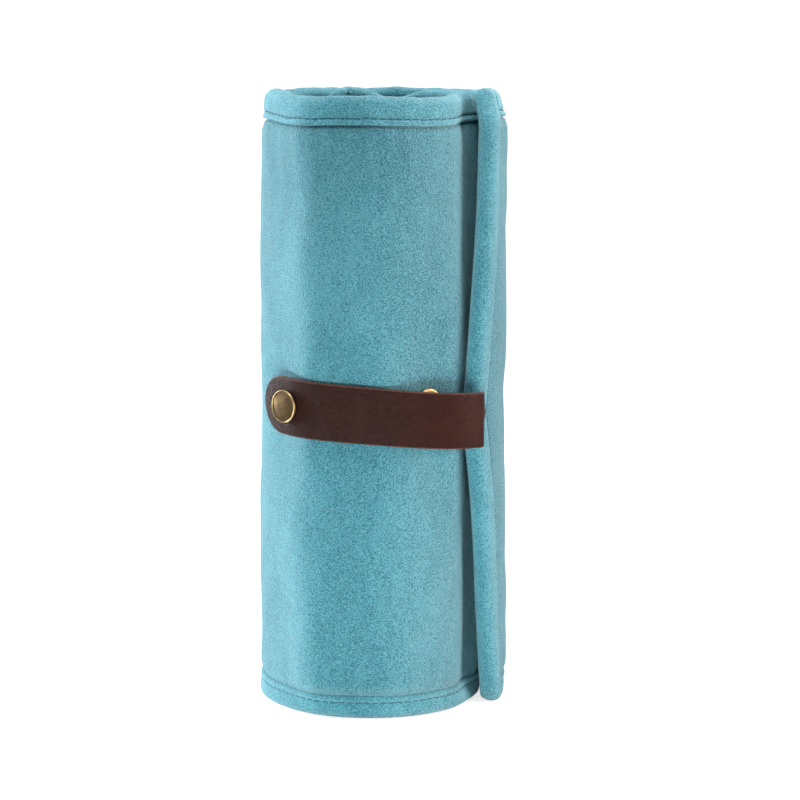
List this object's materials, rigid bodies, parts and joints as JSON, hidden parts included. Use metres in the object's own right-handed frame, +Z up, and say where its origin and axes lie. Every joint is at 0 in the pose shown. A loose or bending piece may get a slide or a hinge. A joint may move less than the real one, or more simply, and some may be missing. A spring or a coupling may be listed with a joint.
{
  "type": "jewelry roll",
  "caption": "Padded velvet jewelry roll wound into an upright spiral and closed by a leather strap with a snap; it unrolls flat to a ring bar and zip pockets.",
  "frame": {"origin": "middle of the rolled roll's footprint, on the surface it stands on", "axes": "+Z up along the roll's axis, -Y to the strap's side, +X to the flap's side"},
  "size_m": [0.0906, 0.09, 0.225],
  "materials": {
    "velvet_cover": "short cotton velvet pile",
    "velvet_lining": "short cotton velvet pile over wadding",
    "velvet_binding": "bias-cut velvet, stitched",
    "leather": "smooth waxed leather with raw edges",
    "brass": "antiqued, rubbed bright on the rims",
    "zip_tape": "woven tape"
  },
  "bodies": {
    "panel_01": {"cover_01": "velvet_cover", "lining_01": "velvet_lining", "flap_binding": "velvet_binding"},
    "panel_02": {"cover_02": "velvet_cover", "lining_02": "velvet_lining"},
    "panel_03": {"cover_03": "velvet_cover", "lining_03": "velvet_lining"},
    "panel_04": {"cover_04": "velvet_cover", "lining_04": "velvet_lining"},
    "panel_05": {"cover_05": "velvet_cover", "lining_05": "velvet_lining"},
    "panel_06": {"cover_06": "velvet_cover", "lining_06": "velvet_lining"},
    "panel_07": {"cover_07": "velvet_cover", "lining_07": "velvet_lining"},
    "panel_08": {"cover_08": "velvet_cover", "lining_08": "velvet_lining", "snap_stud": "brass", "snap_stud_washer": "brass", "ring_bar_foot": "velvet_binding", "ring_tab_stud": "brass"},
    "panel_09": {"cover_09": "velvet_cover", "lining_09": "velvet_lining"},
    "panel_10": {"cover_10": "velvet_cover", "lining_10": "velvet_lining", "spare_stud": "brass", "spare_stud_washer": "brass"},
    "panel_11": {"cover_11": "velvet_cover", "lining_11": "velvet_lining"},
    "panel_12": {"cover_12": "velvet_cover", "lining_12": "velvet_lining", "zip_1_tape": "zip_tape", "zip_1_teeth": "brass"},
    "panel_13": {"cover_13": "velvet_cover", "lining_13": "velvet_lining"},
    "panel_14": {"cover_14": "velvet_cover", "lining_14": "velvet_lining", "zip_2_tape": "zip_tape", "zip_2_teeth": "brass"},
    "panel_15": {"cover_15": "velvet_cover", "lining_15": "velvet_lining", "inner_end_binding": "velvet_binding"},
    "strap_root": {"strap_root": "leather"},
    "strap": {"strap": "leather", "snap_cap": "brass", "snap_socket": "brass"},
    "ring_bar": {"ring_bar": "velvet_lining", "ring_bar_tab": "velvet_binding", "ring_tab_snap": "brass"},
    "zip_1_slider": {"zip_1_slider": "brass"},
    "zip_1_pull": {"zip_1_pull": "brass"},
    "zip_2_slider": {"zip_2_slider": "brass"},
    "zip_2_pull": {"zip_2_pull": "brass"}
  },
  "joints": [
    {"name": "unroll", "type": "hinge", "parent": "panel_09", "child": "panel_08", "pos_m": [-0.02237, -0.03659, 0], "axis": [0, 0, 1], "range_deg": [0, 36]},
    {"name": "fold_07_08", "type": "hinge", "parent": "panel_08", "child": "panel_07", "pos_m": [-0.04068, -0.01822, 0], "axis": [0, 0, 1], "range_deg": [0, 36]},
    {"name": "fold_06_07", "type": "hinge", "parent": "panel_07", "child": "panel_06", "pos_m": [-0.04475, 0.00796, 0], "axis": [0, 0, 1], "range_deg": [0, 36]},
    {"name": "fold_05_06", "type": "hinge", "parent": "panel_06", "child": "panel_05", "pos_m": [-0.03239, 0.03203, 0], "axis": [0, 0, 1], "range_deg": [0, 36]},
    {"name": "fold_04_05", "type": "hinge", "parent": "panel_05", "child": "panel_04", "pos_m": [-0.00775, 0.04447, 0], "axis": [0, 0, 1], "range_deg": [0, 36]},
    {"name": "fold_03_04", "type": "hinge", "parent": "panel_04", "child": "panel_03", "pos_m": [0.02005, 0.03994, 0], "axis": [0, 0, 1], "range_deg": [0, 36]},
    {"name": "fold_02_03", "type": "hinge", "parent": "panel_03", "child": "panel_02", "pos_m": [0.04026, 0.01952, 0], "axis": [0, 0, 1], "range_deg": [0, 36]},
    {"name": "fold_01_02", "type": "hinge", "parent": "panel_02", "child": "panel_01", "pos_m": [0.04467, -0.00942, 0], "axis": [0, 0, 1], "range_deg": [0, 36]},
    {"name": "fold_09_10", "type": "hinge", "parent": "panel_09", "child": "panel_10", "pos_m": [0.0027, -0.04059, 0], "axis": [0, 0, -1], "range_deg": [0, 36]},
    {"name": "fold_10_11", "type": "hinge", "parent": "panel_10", "child": "panel_11", "pos_m": [0.02483, -0.02933, 0], "axis": [0, 0, -1], "range_deg": [0, 36]},
    {"name": "fold_11_12", "type": "hinge", "parent": "panel_11", "child": "panel_12", "pos_m": [0.03584, -0.0077, 0], "axis": [0, 0, -1], "range_deg": [0, 36]},
    {"name": "fold_12_13", "type": "hinge", "parent": "panel_12", "child": "panel_13", "pos_m": [0.0321, 0.01572, 0], "axis": [0, 0, -1], "range_deg": [0, 36]},
    {"name": "fold_13_14", "type": "hinge", "parent": "panel_13", "child": "panel_14", "pos_m": [0.01569, 0.03206, 0], "axis": [0, 0, -1], "range_deg": [0, 36]},
    {"name": "fold_14_15", "type": "hinge", "parent": "panel_14", "child": "panel_15", "pos_m": [-0.00665, 0.03553, 0], "axis": [0, 0, -1], "range_deg": [0, 36]},
    {"name": "strap_ease", "type": "hinge", "parent": "panel_01", "child": "strap_root", "pos_m": [0.0388, -0.0304, 0.1093], "axis": [0, 0, 1], "range_deg": [0, 76]},
    {"name": "strap_open", "type": "hinge", "parent": "strap_root", "child": "strap", "pos_m": [0.03399, -0.03604, 0.10971], "axis": [0, 0, 1], "range_deg": [0, 100]},
    {"name": "ring_bar_lift", "type": "hinge", "parent": "panel_08", "child": "ring_bar", "pos_m": [-0.02349, -0.02011, 0.022], "axis": [-0.682, 0.7314, 0], "range_deg": [0, 15]},
    {"name": "zip_1_slide", "type": "slide", "parent": "panel_12", "child": "zip_1_slider", "axis": [0, 0, -1], "range_m": [0, 0.15]},
    {"name": "zip_1_pull", "type": "hinge", "parent": "zip_1_slider", "child": "zip_1_pull", "pos_m": [0.025, 0.00305, 0.201], "axis": [-0.1219, 0.9925, 0], "range_deg": [0, 90]},
    {"name": "zip_2_slide", "type": "slide", "parent": "panel_14", "child": "zip_2_slider", "axis": [0, 0, -1], "range_m": [0, 0.15]},
    {"name": "zip_2_pull", "type": "hinge", "parent": "zip_2_slider", "child": "zip_2_pull", "pos_m": [0.00265, 0.02488, 0.201], "axis": [-0.9816, 0.1908, 0], "range_deg": [0, 90]}
  ],
  "couplings": [
    {"joint": "fold_07_08", "follows": "unroll", "ratio": 1},
    {"joint": "fold_06_07", "follows": "unroll", "ratio": 1},
    {"joint": "fold_05_06", "follows": "unroll", "ratio": 1},
    {"joint": "fold_04_05", "follows": "unroll", "ratio": 1},
    {"joint": "fold_03_04", "follows": "unroll", "ratio": 1},
    {"joint": "fold_02_03", "follows": "unroll", "ratio": 1},
    {"joint": "fold_01_02", "follows": "unroll", "ratio": 1},
    {"joint": "fold_09_10", "follows": "unroll", "ratio": 1},
    {"joint": "fold_10_11", "follows": "unroll", "ratio": 1},
    {"joint": "fold_11_12", "follows": "unroll", "ratio": 1},
    {"joint": "fold_12_13", "follows": "unroll", "ratio": 1},
    {"joint": "fold_13_14", "follows": "unroll", "ratio": 1},
    {"joint": "fold_14_15", "follows": "unroll", "ratio": 1},
    {"joint": "strap_ease", "follows": "unroll", "ratio": 2.0833}
  ]
}
